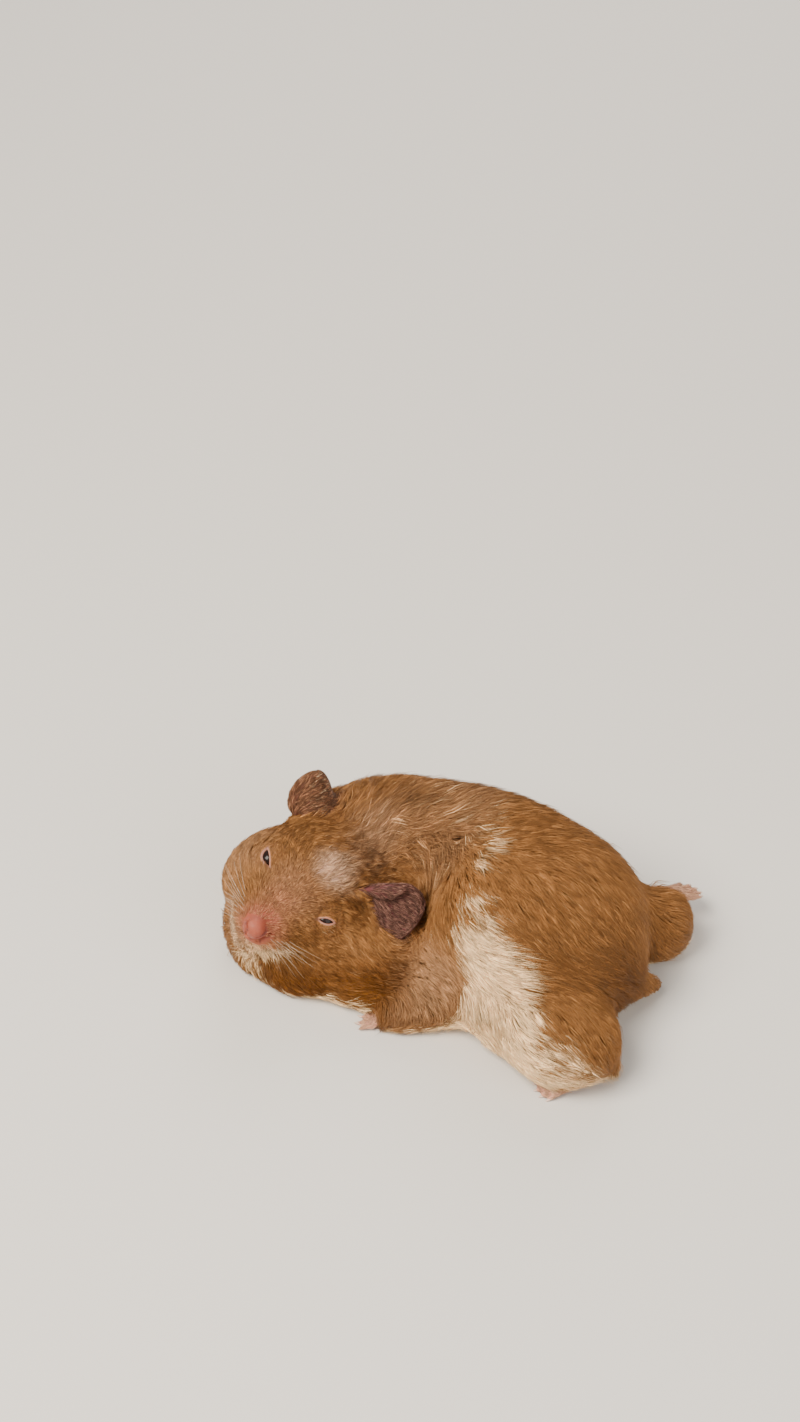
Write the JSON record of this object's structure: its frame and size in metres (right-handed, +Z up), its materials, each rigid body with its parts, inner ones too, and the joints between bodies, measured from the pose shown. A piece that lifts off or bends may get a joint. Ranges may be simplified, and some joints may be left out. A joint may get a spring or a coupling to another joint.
{
  "type": "syrian hamster model",
  "caption": "Life-size model of a furry golden hamster lying flat on its belly with its head turned aside and one hind leg stretched out.",
  "frame": {"origin": "centre of the footprint's bounding box, on the floor", "axes": "+Z up; the body lies along X with the head at the -X end; the animal's left side faces -Y"},
  "size_m": [0.1268, 0.1018, 0.0452],
  "materials": {
    "coat": "fur",
    "bare_skin": "soft bare skin",
    "ear_skin": "thin skin with fine hair",
    "eye": "wet gloss"
  },
  "bodies": {
    "root": {"head": "coat", "neck": "coat", "trunk": "coat", "foreleg_left": "coat", "foreleg_right": "coat", "hindleg_left": "coat", "hindleg_right": "coat", "forepaw_left": "bare_skin", "forepaw_right": "bare_skin", "hindfoot_left": "bare_skin", "hindfoot_right": "bare_skin", "tail": "bare_skin", "nose": "bare_skin", "ear_left": "ear_skin", "ear_right": "ear_skin", "eye_left": "eye", "eye_right": "eye"}
  },
  "joints": []
}
